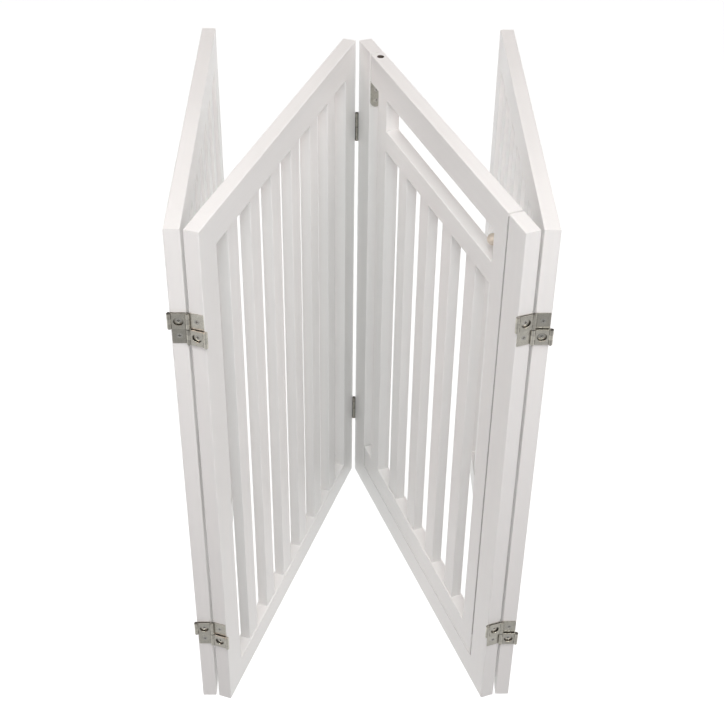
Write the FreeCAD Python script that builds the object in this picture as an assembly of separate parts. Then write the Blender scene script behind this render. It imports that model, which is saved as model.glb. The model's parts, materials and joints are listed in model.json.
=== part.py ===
import FreeCAD
import Part

import math
import os

# Free-standing folding pet gate: four framed and slatted wooden panels in a zigzag, joined by
# six double-acting folding-screen hinges, with a walk-through door in the third panel.
#
# Each panel is built flat in its own frame: X runs along its width from its left edge, Y is its
# thickness with the front face at -Y, Z is up from the floor.  The panels are then folded about
# the hinge pins into the standing zigzag.  All lengths are in millimetres, angles in degrees.

# Panels
PANEL_W = 508.0
PANEL_H = 762.0
BOARD_T = 18.5
STILE_W = 40.0
RAIL_H = 40.0
SLAT_W = 28.0
SLAT_T = 14.5
SLATS_PER_PANEL = 6
HOUSING = 10.0
EDGE_R = 1.2
SHOULDER_GAP = 0.06

# Mortise and tenon between rails and stiles
TENON_T = 7.0
TENON_L = 15.0
TENON_SHOULDER = 6.0

# Door panel and door
POST_W = 41.5
SILL_H = 41.0
DOOR_GAP = 2.0
LATCH_GAP = 3.0
DOOR_STILE_W = 30.0
DOOR_STILE_INSET = 30.0
DOOR_MID_RAIL_H = 30.0
HAND_SLOT_H = 43.0
DOOR_SLATS = 4
DOOR_END_R = 3.5

# Door pivots: the axis stands this far in from the door rails' ends
PIVOT_INSET = 12.0
PIVOT_BOLT_R = 2.5
PIVOT_HEAD_R = 4.0
PIVOT_HEAD_H = 3.0
PIVOT_BOLT_L = 26.0
COUNTERBORE_R = 4.6
COUNTERBORE_DEPTH = 20.0
FLOOR_PIN_R = 4.0
FLOOR_PIN_L = 20.0
FLOOR_PIN_COLLAR_R = 7.0
BRACKET_T = 2.0
BRACKET_W = 16.0
BRACKET_DROP = 37.5
BRACKET_SCREWS = (12.5, 28.0)
BRACKET_GAP = 0.2
RUNNING = 0.05

# Latch bolt, pulled back: its ball knob stands in the hand slot beside the latch stile
LATCH_Z = 697.0
BOLT_R = 3.5
BOLT_TIP_INSET = 0.5
BOLT_TIP_R = 1.4
KNOB_R = 7.0
KNOB_FROM_STILE = 18.5
STRIKE_R = 4.0
STRIKE_DEPTH = 12.0

# Hinges: pins stand off the panel's face and off its edge
HINGE_H = 42.0
HINGE_INSET = 129.0
PIN_OFF_FACE = 1.1
PIN_OFF_EDGE = 2.7
PIN_R = 1.0
PIN_HEAD_R = 1.8
PIN_HEAD_H = 0.8
KNUCKLE_R = 2.5
PLATE_T = 1.1
PLATE_GAP = 1.4
PLATE_INSET = 1.0
HALF_GAP = 0.5
KNUCKLE_GAP = 0.15
ACCESS_HOLE_R = 5.8

# Countersunk wood screws
SCREW_R = 1.6
SCREW_HEAD_R = 3.3
SCREW_HEAD_H = 1.7
SCREW_L = 18.0
CROSS_W = 0.9
CROSS_L = 3.6
CROSS_DEPTH = 1.0

# Standing angles between neighbouring panels (0 is folded flat, 180 is in line)
LEFT_FOLD = 19.4
CENTRE_FOLD = 39.5
RIGHT_FOLD = 19.7

# Worked out from the above
HALF_T = BOARD_T / 2
PIN_Y = HALF_T + PIN_OFF_FACE
PIN_SPAN = BOARD_T + 2 * PIN_OFF_FACE
DOOR_LEFT = POST_W + DOOR_GAP
DOOR_RIGHT = PANEL_W - POST_W - LATCH_GAP
DOOR_BOTTOM = SILL_H + DOOR_GAP
PIVOT_X = DOOR_LEFT + PIVOT_INSET
TOP_RAIL_Z = PANEL_H - RAIL_H
DOOR_SLAT_Z = DOOR_BOTTOM + RAIL_H
MID_RAIL_TOP = TOP_RAIL_Z - HAND_SLOT_H
MID_RAIL_Z = MID_RAIL_TOP - DOOR_MID_RAIL_H
PIVOT_STILE_X = DOOR_LEFT + DOOR_STILE_INSET
LATCH_STILE_X = DOOR_RIGHT - DOOR_STILE_W

X_AXIS = FreeCAD.Vector(1, 0, 0)
Y_AXIS = FreeCAD.Vector(0, 1, 0)
Z_AXIS = FreeCAD.Vector(0, 0, 1)


def vec(x, y, z):
    return FreeCAD.Vector(x, y, z)


def block(x0, x1, y0, y1, z0, z1):
    return Part.makeBox(x1 - x0, y1 - y0, z1 - z0, vec(x0, y0, z0))


def rod(radius, start, direction, length):
    return Part.makeCylinder(radius, length, start, direction)


def rounded(shape, radius, *directions):
    """Round every straight edge that runs along one of the directions."""
    edges = []
    for edge in shape.Edges:
        along = (edge.Vertexes[-1].Point - edge.Vertexes[0].Point).normalize()
        if any(abs(along.dot(direction)) > 0.999 for direction in directions):
            edges.append(edge)
    return shape.makeFillet(radius, edges)


def framework(x0, x1, z0, z1, *openings):
    """A board-thick slab with openings cut through, and its edges eased on both faces.

    Boards are cut out of it, so that their edges are eased along the assembled outline only, and
    the joints between them are flush.
    """
    slab = block(x0, x1, -HALF_T, HALF_T, z0, z1)
    for left, right, low, high in openings:
        slab = slab.cut(block(left, right, -BOARD_T, BOARD_T, low, high))
    return rounded(slab.removeSplitter(), EDGE_R, X_AXIS, Z_AXIS)


def board(slab, x0, x1, z0, z1):
    """The board that lies between these limits of a framework."""
    return slab.common(block(x0, x1, -BOARD_T, BOARD_T, z0, z1))


def rail_between(slab, x0, x1, z0, z1):
    """A rail cut from a framework, and the two tenons that run out of its ends."""
    half = TENON_T / 2
    low = z0 + TENON_SHOULDER
    high = z1 - TENON_SHOULDER
    left = block(x0 - TENON_L, x0 + SHOULDER_GAP, -half, half, low, high)
    right = block(x1 - SHOULDER_GAP, x1 + TENON_L, -half, half, low, high)
    body = board(slab, x0 + SHOULDER_GAP, x1 - SHOULDER_GAP, z0, z1)
    return body.fuse([left, right]).removeSplitter(), left, right


def slat_row(x0, x1, z0, z1, count):
    """Evenly spaced slats that fill an opening, with ends housed in the rails."""
    gap = (x1 - x0 - count * SLAT_W) / (count + 1)
    half = SLAT_T / 2
    slats = []
    for index in range(count):
        left = x0 + gap + index * (SLAT_W + gap)
        body = block(left, left + SLAT_W, -half, half, z0 - HOUSING, z1 + HOUSING)
        slats.append(rounded(body, EDGE_R, Z_AXIS))
    return slats


def plain_panel(name, left_stile, right_stile):
    """Two stiles, two rails and a row of slats."""
    inner_left = STILE_W
    inner_right = PANEL_W - STILE_W
    slab = framework(0, PANEL_W, 0, PANEL_H, (inner_left, inner_right, RAIL_H, TOP_RAIL_Z))
    left = board(slab, 0, inner_left, 0, PANEL_H)
    right = board(slab, inner_right, PANEL_W, 0, PANEL_H)
    slats = slat_row(inner_left, inner_right, RAIL_H, TOP_RAIL_Z, SLATS_PER_PANEL)
    pieces = {}
    for place, z0, z1 in (("bottom", 0, RAIL_H), ("top", TOP_RAIL_Z, PANEL_H)):
        rail, left_tenon, right_tenon = rail_between(slab, inner_left, inner_right, z0, z1)
        pieces[name + "_rail_" + place] = rail.cut(slats)
        left = left.cut(left_tenon)
        right = right.cut(right_tenon)
    pieces[name + "_stile_" + left_stile] = left
    pieces[name + "_stile_" + right_stile] = right
    pieces[name + "_slats"] = Part.makeCompound(slats)
    return pieces


def door_frame_panel():
    """The posts and sill that stand round the door."""
    inner_left = POST_W
    inner_right = PANEL_W - POST_W
    slab = framework(0, PANEL_W, 0, PANEL_H, (inner_left, inner_right, SILL_H, PANEL_H))
    sill, left_tenon, right_tenon = rail_between(slab, inner_left, inner_right, 0, SILL_H)
    inner = board(slab, 0, inner_left, 0, PANEL_H)
    outer = board(slab, inner_right, PANEL_W, 0, PANEL_H)
    floor_pin_hole = rod(FLOOR_PIN_R, vec(PIVOT_X, 0, SILL_H - FLOOR_PIN_L), Z_AXIS, FLOOR_PIN_L)
    strike = rod(STRIKE_R, vec(inner_right, 0, LATCH_Z), X_AXIS, STRIKE_DEPTH)
    return {
        "panel_3_post_inner": inner.cut(left_tenon),
        "panel_3_post_outer": outer.cut([right_tenon, strike]),
        "panel_3_sill": sill.cut(floor_pin_hole),
    }


def door():
    """The door: long top and bottom rails, two stiles and a middle rail under the hand slot."""
    inner_left = PIVOT_STILE_X + DOOR_STILE_W
    slab = framework(
        DOOR_LEFT, DOOR_RIGHT, DOOR_BOTTOM, PANEL_H,
        (DOOR_LEFT, PIVOT_STILE_X, DOOR_SLAT_Z, TOP_RAIL_Z),
        (inner_left, LATCH_STILE_X, DOOR_SLAT_Z, MID_RAIL_Z),
        (inner_left, LATCH_STILE_X, MID_RAIL_TOP, TOP_RAIL_Z),
    )
    # The rails' pivot ends are rounded on plan, so that they turn clear of the post.
    reach = block(DOOR_LEFT, PANEL_W, -HALF_T, HALF_T, 0, PANEL_H)
    slab = slab.common(rounded(reach, DOOR_END_R, Z_AXIS))

    middle, left_tenon, right_tenon = rail_between(
        slab, inner_left, LATCH_STILE_X, MID_RAIL_Z, MID_RAIL_TOP)
    slats = slat_row(inner_left, LATCH_STILE_X, DOOR_SLAT_Z, MID_RAIL_Z, DOOR_SLATS)
    pivot_stile, pivot_tenons = door_stile(slab, PIVOT_STILE_X)
    latch_stile, latch_tenons = door_stile(slab, LATCH_STILE_X)
    housings = slats + pivot_tenons + latch_tenons
    bolt_hole = rod(BOLT_R + RUNNING, vec(LATCH_STILE_X, 0, LATCH_Z), X_AXIS, DOOR_STILE_W)

    bottom = board(slab, DOOR_LEFT, DOOR_RIGHT, DOOR_BOTTOM, DOOR_SLAT_Z)
    floor_pin_hole = rod(FLOOR_PIN_R + RUNNING, vec(PIVOT_X, 0, DOOR_BOTTOM), Z_AXIS, FLOOR_PIN_L)
    top = board(slab, DOOR_LEFT, DOOR_RIGHT, TOP_RAIL_Z, PANEL_H)
    bolt_z = PANEL_H - COUNTERBORE_DEPTH
    counterbore = rod(COUNTERBORE_R, vec(PIVOT_X, 0, bolt_z), Z_AXIS, COUNTERBORE_DEPTH)
    bolt_shank = rod(PIVOT_BOLT_R, vec(PIVOT_X, 0, TOP_RAIL_Z), Z_AXIS, bolt_z - TOP_RAIL_Z)
    return {
        "door_stile_pivot": pivot_stile.cut(left_tenon),
        "door_stile_latch": latch_stile.cut([right_tenon, bolt_hole]),
        "door_rail_bottom": bottom.cut(housings + [floor_pin_hole]),
        "door_rail_middle": middle.cut(slats),
        "door_rail_top": top.cut(housings + [counterbore, bolt_shank]),
        "door_slats": Part.makeCompound(slats),
    }


def door_stile(slab, x0):
    """A door stile and the tenons at its two ends, which are housed in the long rails."""
    half = TENON_T / 2
    low = DOOR_SLAT_Z + SHOULDER_GAP
    high = TOP_RAIL_Z - SHOULDER_GAP
    left = x0 + TENON_SHOULDER
    right = x0 + DOOR_STILE_W - TENON_SHOULDER
    lower = block(left, right, -half, half, DOOR_SLAT_Z - HOUSING, low)
    upper = block(left, right, -half, half, high, TOP_RAIL_Z + HOUSING)
    body = board(slab, x0, x0 + DOOR_STILE_W, low, high)
    return body.fuse([lower, upper]).removeSplitter(), [lower, upper]


def pivot_bracket():
    """Steel angle on the inner post; its upper flange carries the door's top pivot bolt."""
    half = BRACKET_W / 2
    top = TOP_RAIL_Z - BRACKET_GAP
    bottom = top - BRACKET_DROP
    round_z = bottom + half
    leg = block(POST_W, POST_W + BRACKET_T, -half, half, round_z, top)
    leg = leg.fuse(rod(half, vec(POST_W, 0, round_z), X_AXIS, BRACKET_T))
    flange = block(POST_W, PIVOT_X, -half, half, top - BRACKET_T, top)
    flange = flange.fuse(rod(half, vec(PIVOT_X, 0, top - BRACKET_T), Z_AXIS, BRACKET_T))
    hole = rod(PIVOT_BOLT_R + RUNNING, vec(PIVOT_X, 0, top - BRACKET_T), Z_AXIS, BRACKET_T)
    return leg.fuse(flange).cut([hole] + bracket_screws(screw_blank)).removeSplitter()


def bracket_screws(make):
    """The bracket's two screws, or the holes for them, made with screw or screw_blank."""
    top = TOP_RAIL_Z - BRACKET_GAP
    face = POST_W + BRACKET_T
    return [make(vec(face, 0, top - drop), X_AXIS.negative()) for drop in BRACKET_SCREWS]


def pivot_bolt():
    """The door's top pivot: a bolt sunk in the top rail that turns in the bracket."""
    head_z = PANEL_H - COUNTERBORE_DEPTH
    head = rod(PIVOT_HEAD_R, vec(PIVOT_X, 0, head_z), Z_AXIS, PIVOT_HEAD_H)
    shank = rod(PIVOT_BOLT_R, vec(PIVOT_X, 0, head_z - PIVOT_BOLT_L), Z_AXIS, PIVOT_BOLT_L)
    return rounded_rims(head, 0.6).fuse(shank).removeSplitter()


def floor_pivot_pin():
    """The door's bottom pivot: a pin set in the sill, with a collar that the door turns on."""
    shank = rod(FLOOR_PIN_R, vec(PIVOT_X, 0, SILL_H - FLOOR_PIN_L), Z_AXIS,
                2 * FLOOR_PIN_L + DOOR_GAP - 1.0)
    collar = rod(FLOOR_PIN_COLLAR_R, vec(PIVOT_X, 0, SILL_H), Z_AXIS, DOOR_GAP)
    return shank.fuse(collar).removeSplitter()


def rounded_rims(cylinder, radius):
    """Round the circular edges at a cylinder's ends."""
    rims = [edge for edge in cylinder.Edges if isinstance(edge.Curve, Part.Circle)]
    return cylinder.makeFillet(radius, rims)


def latch_bolt():
    """A turned brass bolt with a ball knob at its inner end and a rounded tip."""
    knob_x = LATCH_STILE_X - KNOB_FROM_STILE
    tip_x = DOOR_RIGHT - BOLT_TIP_INSET
    neck_x = knob_x + math.sqrt(KNOB_R ** 2 - BOLT_R ** 2)
    back, top, neck = on_bolt(knob_x - KNOB_R, 0), on_bolt(knob_x, KNOB_R), on_bolt(neck_x, BOLT_R)
    shoulder = on_bolt(tip_x - BOLT_TIP_R, BOLT_R)
    bend = BOLT_TIP_R * (1 - math.sqrt(0.5))
    corner = on_bolt(tip_x - bend, BOLT_R - bend)
    flat = on_bolt(tip_x, BOLT_R - BOLT_TIP_R)
    middle = on_bolt(tip_x, 0)
    outline = Part.Wire([
        Part.Arc(back, top, neck).toShape(),
        Part.makeLine(neck, shoulder),
        Part.Arc(shoulder, corner, flat).toShape(),
        Part.makeLine(flat, middle),
        Part.makeLine(middle, back),
    ])
    return Part.Face(outline).revolve(back, X_AXIS, 360)


def on_bolt(x, radius):
    """A point of the bolt's outline, at this distance from its axis."""
    return vec(x, 0, LATCH_Z + radius)


def screw(head_centre, direction):
    """A countersunk cross-head wood screw; the head's face is at head_centre."""
    head = Part.makeCone(SCREW_HEAD_R, SCREW_R, SCREW_HEAD_H, head_centre, direction)
    body = head.fuse(rod(SCREW_R, head_centre, direction, SCREW_L)).removeSplitter()
    slot = Part.makeBox(CROSS_L, CROSS_W, CROSS_DEPTH, vec(-CROSS_L / 2, -CROSS_W / 2, 0))
    cross = slot.fuse(slot.rotated(vec(0, 0, 0), Z_AXIS, 90))
    turn = FreeCAD.Rotation(Z_AXIS, direction)
    cross.Placement = FreeCAD.Placement(head_centre, turn)
    return body.cut(cross)


def screw_blank(head_centre, direction):
    """The space that a screw fills in the board it is driven into."""
    head = Part.makeCone(SCREW_HEAD_R, SCREW_R, SCREW_HEAD_H, head_centre, direction)
    return head.fuse(rod(SCREW_R, head_centre, direction, SCREW_L))


def knuckle_spans():
    """The three knuckle heights in the hinge's upper half, from the middle up."""
    pitch = (HINGE_H / 2 - HALF_GAP) / 3
    spans = []
    for index in range(3):
        low = HALF_GAP + index * pitch
        spans.append((low, low + pitch - KNUCKLE_GAP))
    return spans


def knuckle(across, z0, z1, bore):
    """A rolled knuckle on the pin line at this distance across the hinge."""
    barrel = rod(KNUCKLE_R, vec(across, -PIN_OFF_EDGE, z0), Z_AXIS, z1 - z0)
    return barrel.cut(rod(bore, vec(across, -PIN_OFF_EDGE, z0), Z_AXIS, z1 - z0))


def strap(x0, x1, depth, z0, z1, pin_x, bore):
    """A strip of plate that runs to a knuckle; depth is how far it lies off the panel's edge."""
    strip = block(x0, x1, -depth - PLATE_T, -depth, z0, z1)
    strip = strip.cut(rod(KNUCKLE_R - PLATE_T / 2, vec(pin_x, -PIN_OFF_EDGE, z0), Z_AXIS, z1 - z0))
    return strip.fuse(knuckle(pin_x, z0, z1, bore))


# Each hinge joins a left and a right panel, seen facing their edges with the panels folded flat.
# The hinge frame has its origin between the two panels, in the plane of their edges and at the
# hinge's middle height: X to the right, Y into the panels, Z up.  The left half is modelled here
# and the right half is the same pieces turned upside down about Y.

def hinge_leaf():
    """The full-height plate screwed to the panel's edge, with knuckles on both pin lines."""
    bore = PIN_R + RUNNING
    left = -PIN_OFF_FACE - BOARD_T + PLATE_INSET
    right = -PIN_OFF_FACE - PLATE_INSET
    half = HINGE_H / 2
    leaf = block(left, right, -PLATE_T, 0, -half, half)
    spans = knuckle_spans()
    lift = PIN_OFF_EDGE - KNUCKLE_R
    for z0, z1 in (spans[0], spans[2]):
        leaf = leaf.fuse(strap(-PIN_SPAN, left, lift, z0, z1, -PIN_SPAN, bore))
        leaf = leaf.fuse(strap(right, 0, lift, -z1, -z0, 0, bore))
    return leaf.removeSplitter()


def hinge_link():
    """The half-height plate over the leaf, with a hole to reach the leaf's screw."""
    depth = PLATE_T + PLATE_GAP
    z0, z1 = knuckle_spans()[1]
    left = -PIN_SPAN + KNUCKLE_R + KNUCKLE_GAP
    right = -KNUCKLE_R - KNUCKLE_GAP
    link = block(left, right, -depth - PLATE_T, -depth, HALF_GAP, HINGE_H / 2)
    link = link.fuse(strap(-PIN_SPAN, left, depth, z0, z1, -PIN_SPAN, PIN_R))
    link = link.fuse(strap(right, 0, depth, z0, z1, 0, PIN_R))
    hole = rod(ACCESS_HOLE_R, vec(-PIN_SPAN / 2, 0, HINGE_H / 4), vec(0, -1, 0), PIN_OFF_EDGE + PLATE_T)
    return link.cut(hole).removeSplitter()


def hinge_pins():
    """The outer pin and the middle pin that the link's knuckles hold."""
    length = HINGE_H / 2 - HALF_GAP
    pins = []
    for across in (-PIN_SPAN, 0):
        pin = rod(PIN_R, vec(across, -PIN_OFF_EDGE, HALF_GAP), Z_AXIS, length)
        head = rod(PIN_HEAD_R, vec(across, -PIN_OFF_EDGE, HINGE_H / 2), Z_AXIS, PIN_HEAD_H)
        pins.append(pin.fuse(head).removeSplitter())
    return pins


def hinge_screw_places():
    """The screw head centres on the leaf, in the hinge frame."""
    return [vec(-PIN_SPAN / 2, -PLATE_T, z) for z in (HINGE_H / 4, -HINGE_H / 4)]


def hinge_half():
    """The pieces of one hinge half; blanks are the holes its screws need in leaf and board."""
    places = hinge_screw_places()
    blanks = [screw_blank(place, Y_AXIS) for place in places]
    return {
        "leaf": hinge_leaf().cut(blanks),
        "link": hinge_link(),
        "pins": hinge_pins(),
        "screws": [screw(place, Y_AXIS) for place in places],
        "blanks": blanks,
    }


def place_half(shape, edge_x, pin_y, height, left_half):
    """Move a hinge piece from the hinge frame to an edge of a panel."""
    flip = FreeCAD.Rotation(Y_AXIS, 0 if left_half else 180)
    turn = FreeCAD.Rotation(Z_AXIS, 90 if edge_x > 0 else -90)
    moved = shape.copy()
    moved.Placement = FreeCAD.Placement(vec(edge_x, pin_y, height), turn * flip)
    return moved


# Where each panel carries hinge halves: hinge line, edge, side of the fold pins, which half.
HINGE_LINES = {
    "panel_1": [("left", PANEL_W, PIN_Y, True)],
    "panel_2": [("left", 0, PIN_Y, False), ("centre", PANEL_W, -PIN_Y, False)],
    "panel_3": [("centre", 0, -PIN_Y, True), ("right", PANEL_W, PIN_Y, True)],
    "panel_4": [("right", 0, PIN_Y, False)],
}
# The upright that each hinge line is screwed to.
HINGED_UPRIGHTS = {
    ("panel_1", "left"): "panel_1_stile_hinged",
    ("panel_2", "left"): "panel_2_stile_outer",
    ("panel_2", "centre"): "panel_2_stile_inner",
    ("panel_3", "centre"): "panel_3_post_inner",
    ("panel_3", "right"): "panel_3_post_outer",
    ("panel_4", "right"): "panel_4_stile_hinged",
}
HINGE_HEIGHTS = {"top": PANEL_H - HINGE_INSET, "low": HINGE_INSET}


def add_hinges(panel, pieces):
    """Hang the hinge halves on a panel, and bore its uprights for their screws."""
    half = hinge_half()
    pins = []
    screws = []
    for line, edge_x, pin_y, left_half in HINGE_LINES[panel]:
        wood = HINGED_UPRIGHTS[panel, line]
        for level, height in HINGE_HEIGHTS.items():
            where = (edge_x, pin_y, height, left_half)
            label = "hinge_" + line + "_" + level
            pieces[label + "_leaf_" + panel] = place_half(half["leaf"], *where)
            pieces[label + "_link_" + panel] = place_half(half["link"], *where)
            pins += [place_half(pin, *where) for pin in half["pins"]]
            screws += [place_half(one, *where) for one in half["screws"]]
            pieces[wood] = pieces[wood].cut([place_half(one, *where) for one in half["blanks"]])
    if panel == "panel_3":
        screws += bracket_screws(screw)
        pieces["panel_3_post_inner"] = pieces["panel_3_post_inner"].cut(bracket_screws(screw_blank))
    pieces[panel + "_hinge_pins"] = Part.makeCompound(pins)
    pieces[panel + "_screws"] = Part.makeCompound(screws)


def build_panels():
    """Every node, grouped by the panel in whose frame it is built."""
    panels = {
        "panel_1": plain_panel("panel_1", "free", "hinged"),
        "panel_2": plain_panel("panel_2", "outer", "inner"),
        "panel_3": door_frame_panel(),
        "panel_4": plain_panel("panel_4", "hinged", "free"),
    }
    for name, pieces in panels.items():
        add_hinges(name, pieces)
    panels["panel_3"].update(door())
    panels["panel_3"]["door_pivot_bracket"] = pivot_bracket()
    panels["panel_3"]["door_pivot_bolt"] = pivot_bolt()
    panels["panel_3"]["door_floor_pin"] = floor_pivot_pin()
    panels["panel_3"]["latch_bolt"] = latch_bolt()
    return panels


def swing(pin_in_panel, pin_in_room, angle):
    """The placement that turns a panel to an angle with its pin at a given place."""
    turn = FreeCAD.Rotation(Z_AXIS, angle)
    return FreeCAD.Placement(pin_in_room - turn.multVec(pin_in_panel), turn)


def panel_placements():
    """Stand the panels in their zigzag, with the centre fold pins on the Z axis."""
    half_fold = CENTRE_FOLD / 2
    left_edge = -PIN_OFF_EDGE
    right_edge = PANEL_W + PIN_OFF_EDGE
    origin = vec(0, 0, 0)
    panel_2 = swing(vec(right_edge, -PIN_Y, 0), origin, 90 - half_fold)
    panel_3 = swing(vec(left_edge, -PIN_Y, 0), origin, half_fold - 90)
    left_pin = panel_2.multVec(vec(left_edge, PIN_Y, 0))
    right_pin = panel_3.multVec(vec(right_edge, PIN_Y, 0))
    angle_1 = 90 - half_fold - (180 - LEFT_FOLD)
    angle_4 = half_fold - 90 + (180 - RIGHT_FOLD)
    return {
        "panel_1": swing(vec(right_edge, PIN_Y, 0), left_pin, angle_1),
        "panel_2": panel_2,
        "panel_3": panel_3,
        "panel_4": swing(vec(left_edge, PIN_Y, 0), right_pin, angle_4),
    }


def main():
    os.makedirs("parts", exist_ok=True)
    placements = panel_placements()
    nodes = {}
    for panel, pieces in build_panels().items():
        for name, shape in pieces.items():
            shape.Placement = placements[panel].multiply(shape.Placement)
            nodes[name] = shape

    # The origin is on the floor under the middle of the standing gate.
    box = Part.makeCompound(list(nodes.values())).BoundBox
    middle = vec((box.XMin + box.XMax) / 2, (box.YMin + box.YMax) / 2, 0)
    for name, shape in nodes.items():
        shape.translate(middle.negative())
        shape.exportStep("parts/" + name + ".step")

    print("nodes", len(nodes))
    print("size", round(box.XLength, 2), round(box.YLength, 2), round(box.ZLength, 2))
    print("centre fold pins", middle.negative())
    for label, panel, x, y in (
        ("left fold pins", "panel_2", -PIN_OFF_EDGE, PIN_Y),
        ("right fold pins", "panel_3", PANEL_W + PIN_OFF_EDGE, PIN_Y),
        ("door pivot", "panel_3", PIVOT_X, 0),
        ("latch", "panel_3", LATCH_STILE_X, 0),
    ):
        print(label, placements[panel].multVec(vec(x, y, 0)) - middle)


main()
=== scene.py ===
import json
import math

import bmesh
import bpy
from mathutils import Matrix, Vector


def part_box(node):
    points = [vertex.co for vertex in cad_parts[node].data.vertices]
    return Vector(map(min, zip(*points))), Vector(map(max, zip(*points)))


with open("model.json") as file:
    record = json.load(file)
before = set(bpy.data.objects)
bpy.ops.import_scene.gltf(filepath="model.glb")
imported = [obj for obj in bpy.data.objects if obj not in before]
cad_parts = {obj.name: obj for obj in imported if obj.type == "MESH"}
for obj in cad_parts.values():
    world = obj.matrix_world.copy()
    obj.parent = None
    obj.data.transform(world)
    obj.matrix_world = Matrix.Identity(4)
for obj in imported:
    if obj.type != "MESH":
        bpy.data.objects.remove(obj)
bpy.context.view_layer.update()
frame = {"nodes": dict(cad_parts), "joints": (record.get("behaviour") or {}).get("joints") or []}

# A folding pet gate: the CAD nodes keep their meshes, and this script gives them their finishes,
# the studio, and the camera.  Lengths are in metres, and colours are linear red, green and blue.

NODES = frame["nodes"]
PANELS = ("panel_1", "panel_2", "panel_3", "panel_4")
DOOR_PANEL = "panel_3"

# Camera
# The camera's place is measured from the floor under the centre fold's pins.
CAMERA_FROM_FOLD = Vector((-0.02687, -1.73556, 1.55417))
CAMERA_DOWN = math.radians(37.526)
CAMERA_RIGHT = math.radians(1.286)
CAMERA_ROLL = math.radians(0.829)
CAMERA_LENS = 69.42
CAMERA_SENSOR = 36.0

# Studio
# The floor is round, and at its edge it sweeps up into a wall without a corner.
FLOOR_RADIUS = 5.0
SWEEP_RADIUS = 1.6
SWEEP_STEPS = 12
WALL_TOP = 7.0
FLOOR_SEGMENTS = 96
FLOOR_COLOUR = (0.50, 0.50, 0.50)
FLOOR_PATCH_TONE = 0.985
FLOOR_PATCH_FINENESS = 2.0
FLOOR_ROUGHNESS = 0.9
FLOOR_GLOW = 0.85
# The light that the white studio sends back: from below it grows towards the back of the room.
LIGHT_BELOW_FRONT = (0.30, 0.30, 0.30)
LIGHT_BELOW_BACK = (1.315, 1.318, 1.308)
LIGHT_SIDES = (0.17, 0.18, 0.185)
LIGHT_ABOVE = (0.02, 0.02, 0.02)
# Where the light changes over, as the upward part of a direction of length 1
HORIZON = (-0.02, 0.02)
SIDES_END = (0.45, 0.55)
# Soft lamps: name, place, width, power in watts, colour
LAMPS = (
    ("top", (0.0, 0.2, 3.4), 2.6, 33.5, (1.0, 0.93, 0.895)),
    ("front_right", (2.0, -2.4, 2.4), 1.6, 33.2, (1.0, 0.91, 0.895)),
    ("front_left", (-2.0, -2.4, 2.4), 1.6, 22.0, (1.0, 0.82, 0.79)),
    ("front", (0.0, -1.3, 2.2), 1.0, 20.5, (0.95, 0.99, 1.0)),
)
LAMPS_AIM = (0.0, 0.0, 0.4)

# Finishes
# A fineness is a noise's scale, in cells a metre.  An along value is the fineness along the boards, or
# up and down the metal, as a share of the fineness across.  A tone multiplies a colour.
PAINT = (0.93, 0.92, 0.908)
PAINT_PATCH_TONE = 0.965
PAINT_ROUGHNESS = (0.34, 0.46)
PAINT_IOR = 1.48
GRAIN_FINENESS = 160.0
GRAIN_ALONG = 0.025
GRAIN_DEPTH = 0.00012
DRAG_FINENESS = 900.0
DRAG_ALONG = 0.008
DRAG_DEPTH = 0.00006
STIPPLE_FINENESS = 1400.0
STIPPLE_DEPTH = 0.00004
PATCH_FINENESS = 9.0
BUMP_STRENGTH = 0.5

NICKEL = (0.80, 0.77, 0.69)
BRACKET_NICKEL = (0.70, 0.68, 0.61)
PIN_STEEL = (0.50, 0.48, 0.44)
SCREW_STEEL = (0.80, 0.78, 0.73)
BOLT_STEEL = (0.20, 0.195, 0.185)
DULL_TONE = 0.62
DULL_FINENESS = 140.0
MOTTLE_FINENESS = 620.0
MOTTLE_CONTRAST = 0.65
MOTTLE_DEPTH = 0.00008
MOTTLE_ROUGHER = 0.12
MOTTLE_SMOOTHER = 0.06
BRUSHED_FINENESS = 2600.0
BRUSHED_ALONG = 0.04
BRUSHED_DEPTH = 0.00003
BRUSHED_STRENGTH = 0.6
# Painted shade on the metals: ambient occlusion within this reach darkens the colour, down to this tone
# where the surface is most closed in.
CREVICE_REACH = 0.003
CREVICE_SHADE_TONE = 0.35
CREVICE_OPENNESS = (0.2, 0.9)
CREVICE_SAMPLES = 8
# How bright a hinge plate's nickel is against the others': painted reflection and wear, standing partly for
# the light that the plate's tilt reflects and partly for its worn plating.
PLATE_REFLECTION_AND_WEAR_TONES = {
    "hinge_left_top_leaf_panel_2": 1.20,
    "hinge_right_top_leaf_panel_3": 1.12,
    "hinge_left_top_link_panel_2": 1.10,
    "hinge_right_top_link_panel_4": 1.20,
    "hinge_left_top_leaf_panel_1": 0.86,
    "hinge_right_top_leaf_panel_4": 0.92,
}

BRASS = (0.90, 0.81, 0.70)
BRASS_DULL_TONE = 0.86
BRASS_ROUGHNESS = (0.62, 0.54)
BRASS_METALLIC = 0.6
BRASS_DULL_FINENESS = 180.0
BRASS_FINE_FINENESS = 1500.0
BRASS_FINE_DEPTH = 0.00003

# The slit beside the door's latch stile has darker paint on its two sides, which imitates the shade
# of a narrow gap.  It stays when the door opens, so the stile's edge then shows grey.
SLIT_PAINT = (0.60, 0.59, 0.58)
SLIT_REACH = 0.00165
SLIT_FROM_POST_CENTRE = 0.02225
SLIT_TOP = 0.757
# The bore over the door's pivot bolt was drilled after painting, so its wall is bare wood, and painted
# shade makes that wall near black, as the inside of a deep narrow bore looks.
BARE_WOOD_IN_SHADE = (0.13, 0.11, 0.095)
BORE_RADIUS = 0.00463


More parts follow.
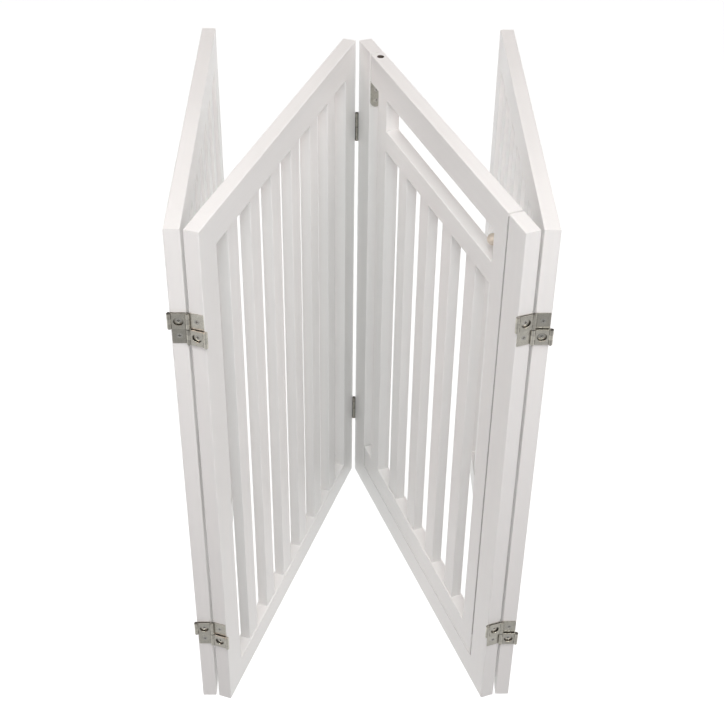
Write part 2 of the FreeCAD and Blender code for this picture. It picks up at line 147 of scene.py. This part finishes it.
class Nodes:
    """A small helper for building the node tree of a material or a world."""

    def __init__(self, owner, shader):
        owner.use_nodes = True
        self.owner = owner
        self.tree = owner.node_tree
        self.shader = self.tree.nodes[shader]

    def add(self, kind, **values):
        node = self.tree.nodes.new(kind)
        for key, value in values.items():
            setattr(node, key, value)
        return node

    def feed(self, target, value):
        """Link an output to this input, or set the input to a constant."""
        if isinstance(value, bpy.types.NodeSocket):
            self.tree.links.new(value, target)
        else:
            target.default_value = value

    def finish(self, **values):
        """Feed the shader's inputs, each named with _ for its spaces."""
        for name, value in values.items():
            self.feed(self.shader.inputs[name.replace("_", " ")], value)

    def place(self):
        return self.add("ShaderNodeTexCoord").outputs["Object"]

    def coordinates(self, turn=0.0, scale=(1.0, 1.0, 1.0)):
        """Object coordinates, turned about Z and then stretched."""
        turned = self.add("ShaderNodeMapping")
        self.feed(turned.inputs["Rotation"], (0.0, 0.0, turn))
        self.feed(turned.inputs["Vector"], self.place())
        stretched = self.add("ShaderNodeMapping")
        self.feed(stretched.inputs["Scale"], scale)
        self.feed(stretched.inputs["Vector"], turned.outputs["Vector"])
        return stretched.outputs["Vector"]

    def noise(self, vector, scale, detail=4.0, roughness=0.55):
        node = self.add("ShaderNodeTexNoise")
        self.feed(node.inputs["Scale"], scale)
        self.feed(node.inputs["Detail"], detail)
        self.feed(node.inputs["Roughness"], roughness)
        self.feed(node.inputs["Vector"], vector)
        return node.outputs["Fac"]

    def spread(self, factor, low, high, start=0.3, end=0.7):
        """Go from low to high as the factor goes from start to end."""
        node = self.add("ShaderNodeMapRange")
        self.feed(node.inputs["From Min"], start)
        self.feed(node.inputs["From Max"], end)
        self.feed(node.inputs["To Min"], low)
        self.feed(node.inputs["To Max"], high)
        self.feed(node.inputs["Value"], factor)
        return node.outputs["Result"]

    def mix(self, factor, first, second, blend_type="MIX"):
        """Mix two colours, each an output or a constant."""
        node = self.add("ShaderNodeMix", data_type="RGBA", blend_type=blend_type)
        for name, colour in (("A", first), ("B", second)):
            if isinstance(colour, tuple):
                colour = (*colour, 1.0)
            self.feed(node.inputs[name], colour)
        self.feed(node.inputs["Factor"], factor)
        return node.outputs["Result"]

    def math(self, operation, *values):
        node = self.add("ShaderNodeMath", operation=operation)
        for target, value in zip(node.inputs, values):
            self.feed(target, value)
        return node.outputs["Value"]

    def vector_math(self, operation, *values):
        node = self.add("ShaderNodeVectorMath", operation=operation)
        for target, value in zip(node.inputs, values):
            self.feed(target, value)
        return node.outputs["Value" if operation in ("LENGTH", "DOT_PRODUCT") else "Vector"]

    def bump(self, height, distance, below=None, strength=BUMP_STRENGTH):
        """Raise the surface by a height, over the bumps below it."""
        node = self.add("ShaderNodeBump")
        self.feed(node.inputs["Distance"], distance)
        self.feed(node.inputs["Strength"], strength)
        self.feed(node.inputs["Height"], height)
        if below is not None:
            self.feed(node.inputs["Normal"], below)
        return node.outputs["Normal"]

    def near_axis(self, foot, radius):
        """1 within this distance of a vertical axis, and 0 beyond it."""
        offset = self.vector_math("SUBTRACT", self.place(), foot)
        flat = self.vector_math("MULTIPLY", offset, (1.0, 1.0, 0.0))
        return self.math("LESS_THAN", self.vector_math("LENGTH", flat), radius)

    def in_slit(self, top, across):
        """1 on the two sides of an upright slit below this place, and 0 elsewhere."""
        offset = self.vector_math("SUBTRACT", self.place(), top)
        distance = self.math("ABSOLUTE", self.vector_math("DOT_PRODUCT", offset, across))
        near = self.math("LESS_THAN", distance, SLIT_REACH)
        parts = self.add("ShaderNodeSeparateXYZ")
        self.feed(parts.inputs["Vector"], offset)
        below = self.math("LESS_THAN", parts.outputs["Z"], 0.0)
        return self.math("MULTIPLY", near, below)

    def crevice_shade(self, colour):
        """Painted shade: darken a colour where the surface is closed in, as ambient occlusion finds it."""
        shade = self.add("ShaderNodeAmbientOcclusion", samples=CREVICE_SAMPLES)
        self.feed(shade.inputs["Distance"], CREVICE_REACH)
        darker = self.spread(shade.outputs["AO"], CREVICE_SHADE_TONE, 1.0, *CREVICE_OPENNESS)
        return self.mix(1.0, colour, darker, blend_type="MULTIPLY")


def new_material(name):
    return Nodes(bpy.data.materials.new(name), "Principled BSDF")


def tint(colour, tone):
    return tuple(channel * tone for channel in colour)


def middle(box):
    """The centre of a box that is given by two corners."""
    return sum(box, Vector()) / 2


def joint_place(name):
    """The place of a joint's axis."""
    return next(joint for joint in frame["joints"] if joint["name"] == name)["pos_m"]


def painted_wood(name, turn, upright, bore=None, slit=None):
    """Satin white paint over planed pine: faint grain, brush drag, roller stipple."""
    made = new_material(name)

    def drawn_out(share):
        return made.coordinates(turn, (1.0, 1.0, share) if upright else (share, 1.0, 1.0))

    plain = made.coordinates(turn)
    grain = made.noise(drawn_out(GRAIN_ALONG), GRAIN_FINENESS, detail=5.0)
    drag = made.noise(drawn_out(DRAG_ALONG), DRAG_FINENESS, detail=2.0)
    stipple = made.noise(plain, STIPPLE_FINENESS, detail=2.0)
    patches = made.noise(plain, PATCH_FINENESS, detail=3.0)

    # The patches count for half of the paint's tone, and the grain for a quarter each way.
    tone = made.math("ADD", made.spread(grain, -0.25, 0.25), made.spread(patches, 0.25, 0.75))
    colour = made.mix(tone, tint(PAINT, PAINT_PATCH_TONE), PAINT)
    # Painted shade: the bore's wall gets a near-black brown, for bare wood deep in shade.
    if bore is not None:
        colour = made.mix(made.near_axis(bore, BORE_RADIUS), colour, BARE_WOOD_IN_SHADE)
    if slit is not None:
        colour = made.mix(made.in_slit(*slit), colour, SLIT_PAINT)

    surface = made.bump(stipple, STIPPLE_DEPTH)
    surface = made.bump(drag, DRAG_DEPTH, surface)
    surface = made.bump(grain, GRAIN_DEPTH, surface)
    roughness = made.spread(patches, *PAINT_ROUGHNESS)
    made.finish(Base_Color=colour, Roughness=roughness, Normal=surface, IOR=PAINT_IOR)
    return made.owner


def plated_steel(name, colour, roughness, brushed=True):
    """Plated steel with fine brushing, uneven plating, and painted shade that darkens it in narrow hollows
    and gaps.
    """
    made = new_material(name)
    plain = made.coordinates()
    dull = made.noise(plain, DULL_FINENESS, detail=3.0)
    mottle = made.noise(plain, MOTTLE_FINENESS, detail=3.0, roughness=MOTTLE_CONTRAST)
    patchy = made.math("ADD", made.spread(dull, 0.0, 0.4), made.spread(mottle, 0.0, 0.6))
    # Painted shade darkens the plating where the surface is closed in.
    plating = made.crevice_shade(made.mix(patchy, tint(colour, DULL_TONE), colour))

    surface = made.bump(mottle, MOTTLE_DEPTH)
    if brushed:
        lines = made.noise(made.coordinates(0.0, (1.0, 1.0, BRUSHED_ALONG)), BRUSHED_FINENESS, detail=2.0)
        surface = made.bump(lines, BRUSHED_DEPTH, surface, BRUSHED_STRENGTH)
    gloss = made.spread(mottle, roughness + MOTTLE_ROUGHER, roughness - MOTTLE_SMOOTHER)
    made.finish(Base_Color=plating, Roughness=gloss, Normal=surface, Metallic=1.0)
    return made.owner


def satin_brass():
    """Pale lacquered brass with a soft satin gloss and fine, uneven wear."""
    made = new_material("turned_brass")
    plain = made.coordinates()
    dull = made.noise(plain, BRASS_DULL_FINENESS, detail=3.0)
    fine = made.noise(plain, BRASS_FINE_FINENESS, detail=2.0)
    colour = made.mix(made.spread(dull, 0.0, 1.0), tint(BRASS, BRASS_DULL_TONE), BRASS)
    roughness = made.spread(dull, *BRASS_ROUGHNESS)
    surface = made.bump(fine, BRASS_FINE_DEPTH)
    made.finish(Base_Color=colour, Roughness=roughness, Normal=surface, Metallic=BRASS_METALLIC)
    return made.owner


def finish_node(name, material):
    """Give a CAD node one finish."""
    for slot in NODES[name].material_slots:
        slot.material = material


def heading(panel):
    """The direction of a panel's width on the floor, from where its stiles stand."""
    names = sorted(n for n in NODES if n.startswith(panel) and ("_stile_" in n or "_post_" in n))
    first, second = [middle(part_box(n)) for n in names]
    across = second - first
    return math.atan2(across.y, across.x)


def latch_slit():
    """The slit between the door's latch stile and the post: its top, and the direction across it."""
    turn = heading(DOOR_PANEL)
    across = Vector((math.cos(turn), math.sin(turn), 0.0))
    post = middle(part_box("panel_3_post_outer"))
    door = middle(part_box("door_stile_latch"))
    if across.dot(door - post) < 0.0:
        across = -across
    top = post + SLIT_FROM_POST_CENTRE * across
    top.z = SLIT_TOP
    return top, across


def finish_wood():
    upright = painted_wood("painted_wood_upright", 0.0, True)
    lying = {panel: painted_wood("painted_wood_" + panel, -heading(panel), False) for panel in PANELS}
    for name in NODES:
        if "_rail_" in name or name.endswith("_sill"):
            panel = DOOR_PANEL if name.startswith("door") else name[:len(DOOR_PANEL)]
            finish_node(name, lying[panel])
        elif "_stile_" in name or "_post_" in name or name.endswith("_slats"):
            finish_node(name, upright)

    slit = latch_slit()
    beside_slit = painted_wood("painted_wood_slit", 0.0, True, slit=slit)
    finish_node("panel_3_post_outer", beside_slit)
    finish_node("door_stile_latch", beside_slit)
    bored = painted_wood("painted_wood_bored", -heading(DOOR_PANEL), False, joint_place("door_swing"), slit)
    finish_node("door_rail_top", bored)


def finish_metal():
    bracket = plated_steel("bracket_nickel", BRACKET_NICKEL, 0.34)
    pins = plated_steel("pin_steel", PIN_STEEL, 0.28)
    screws = plated_steel("screw_steel", SCREW_STEEL, 0.26, brushed=False)
    bolt = plated_steel("bolt_steel", BOLT_STEEL, 0.35, brushed=False)
    nickels = {}
    for name in NODES:
        if name.startswith("hinge_"):
            # Painted reflection and wear: the tone makes this plate's nickel brighter or darker than the
            # others'.
            tone = PLATE_REFLECTION_AND_WEAR_TONES.get(name, 1.0)
            if tone not in nickels:
                label = "satin_nickel_%d" % round(100 * tone)
                nickels[tone] = plated_steel(label, tint(NICKEL, tone), 0.30)
            finish_node(name, nickels[tone])
        elif name.endswith("_hinge_pins"):
            finish_node(name, pins)
        elif name.endswith("_screws"):
            finish_node(name, screws)
    finish_node("door_pivot_bracket", bracket)
    finish_node("door_pivot_bolt", bolt)
    finish_node("door_floor_pin", bolt)
    finish_node("latch_bolt", satin_brass())


def sweep_mesh():
    """A round sheet that curves up at its edge into a wall."""
    turns = [math.radians(90.0) * step / SWEEP_STEPS for step in range(SWEEP_STEPS + 1)]
    profile = [(FLOOR_RADIUS + SWEEP_RADIUS * math.sin(turn), SWEEP_RADIUS * (1.0 - math.cos(turn)))
               for turn in turns]
    profile.append((FLOOR_RADIUS + SWEEP_RADIUS, WALL_TOP))
    angles = [math.tau * index / FLOOR_SEGMENTS for index in range(FLOOR_SEGMENTS)]
    shell = bmesh.new()
    rings = []
    for radius, height in profile:
        corners = [(radius * math.cos(angle), radius * math.sin(angle), height) for angle in angles]
        rings.append([shell.verts.new(corner) for corner in corners])
    shell.faces.new(rings[0])
    for inner, outer in zip(rings, rings[1:]):
        for index in range(FLOOR_SEGMENTS):
            following = (index + 1) % FLOOR_SEGMENTS
            wall = shell.faces.new((inner[index], outer[index], outer[following], inner[following]))
            wall.smooth = True
    mesh = bpy.data.meshes.new("floor")
    shell.to_mesh(mesh)
    shell.free()
    return mesh


def floor_paper():
    """Pale studio paper, which glows so that it looks white."""
    made = new_material("floor_paper")
    soft = made.noise(made.coordinates(), FLOOR_PATCH_FINENESS)
    colour = made.mix(made.spread(soft, 0.0, 1.0), tint(FLOOR_COLOUR, FLOOR_PATCH_TONE), FLOOR_COLOUR)
    made.finish(Base_Color=colour, Roughness=FLOOR_ROUGHNESS,
                Emission_Color=(1.0, 1.0, 1.0, 1.0), Emission_Strength=FLOOR_GLOW)
    return made.owner


def floor():
    mesh = sweep_mesh()
    mesh.materials.append(floor_paper())
    plane = bpy.data.objects.new("floor", mesh)
    bpy.context.scene.collection.objects.link(plane)
    # The surroundings' light from below stands for the floor's, without a dark patch underfoot.
    plane.visible_diffuse = False
    plane.visible_glossy = False
    plane.visible_shadow = False


def lamp(name, place, width, power, colour):
    light = bpy.data.lights.new(name, "AREA")
    light.shape = "DISK"
    light.size = width
    light.energy = power
    light.color = colour
    body = bpy.data.objects.new(name, light)
    body.location = place
    body.rotation_mode = "QUATERNION"
    body.rotation_quaternion = (Vector(LAMPS_AIM) - Vector(place)).to_track_quat("-Z", "Y")
    bpy.context.scene.collection.objects.link(body)


def surroundings():
    """A white studio: bright below and behind, dimmer round the sides, dark between the lamps."""
    world = Nodes(bpy.data.worlds.new("studio"), "Background")
    direction = world.add("ShaderNodeSeparateXYZ")
    world.feed(direction.inputs["Vector"], world.add("ShaderNodeTexCoord").outputs["Generated"])
    backward, upward = direction.outputs["Y"], direction.outputs["Z"]
    below = world.mix(world.spread(backward, 0.0, 1.0, -1.0, 1.0), LIGHT_BELOW_FRONT, LIGHT_BELOW_BACK)
    over = world.mix(world.spread(upward, 0.0, 1.0, *SIDES_END), LIGHT_SIDES, LIGHT_ABOVE)
    world.finish(Color=world.mix(world.spread(upward, 0.0, 1.0, *HORIZON), below, over))
    bpy.context.scene.world = world.owner


def studio():
    floor()
    surroundings()
    for settings in LAMPS:
        lamp(*settings)
    bpy.context.scene.view_settings.view_transform = "Standard"


def camera():
    data = bpy.data.cameras.new("camera")
    data.sensor_width = CAMERA_SENSOR
    data.lens = CAMERA_LENS
    body = bpy.data.objects.new("camera", data)
    turn = Matrix.Rotation(-CAMERA_RIGHT, 4, "Z")
    turn = turn @ Matrix.Rotation(math.radians(90.0) - CAMERA_DOWN, 4, "X")
    turn = turn @ Matrix.Rotation(CAMERA_ROLL, 4, "Z")
    place = Vector(joint_place("centre_fold")) + CAMERA_FROM_FOLD
    body.matrix_world = Matrix.Translation(place) @ turn
    bpy.context.scene.collection.objects.link(body)
    bpy.context.scene.camera = body


camera()
studio()
finish_wood()
finish_metal()
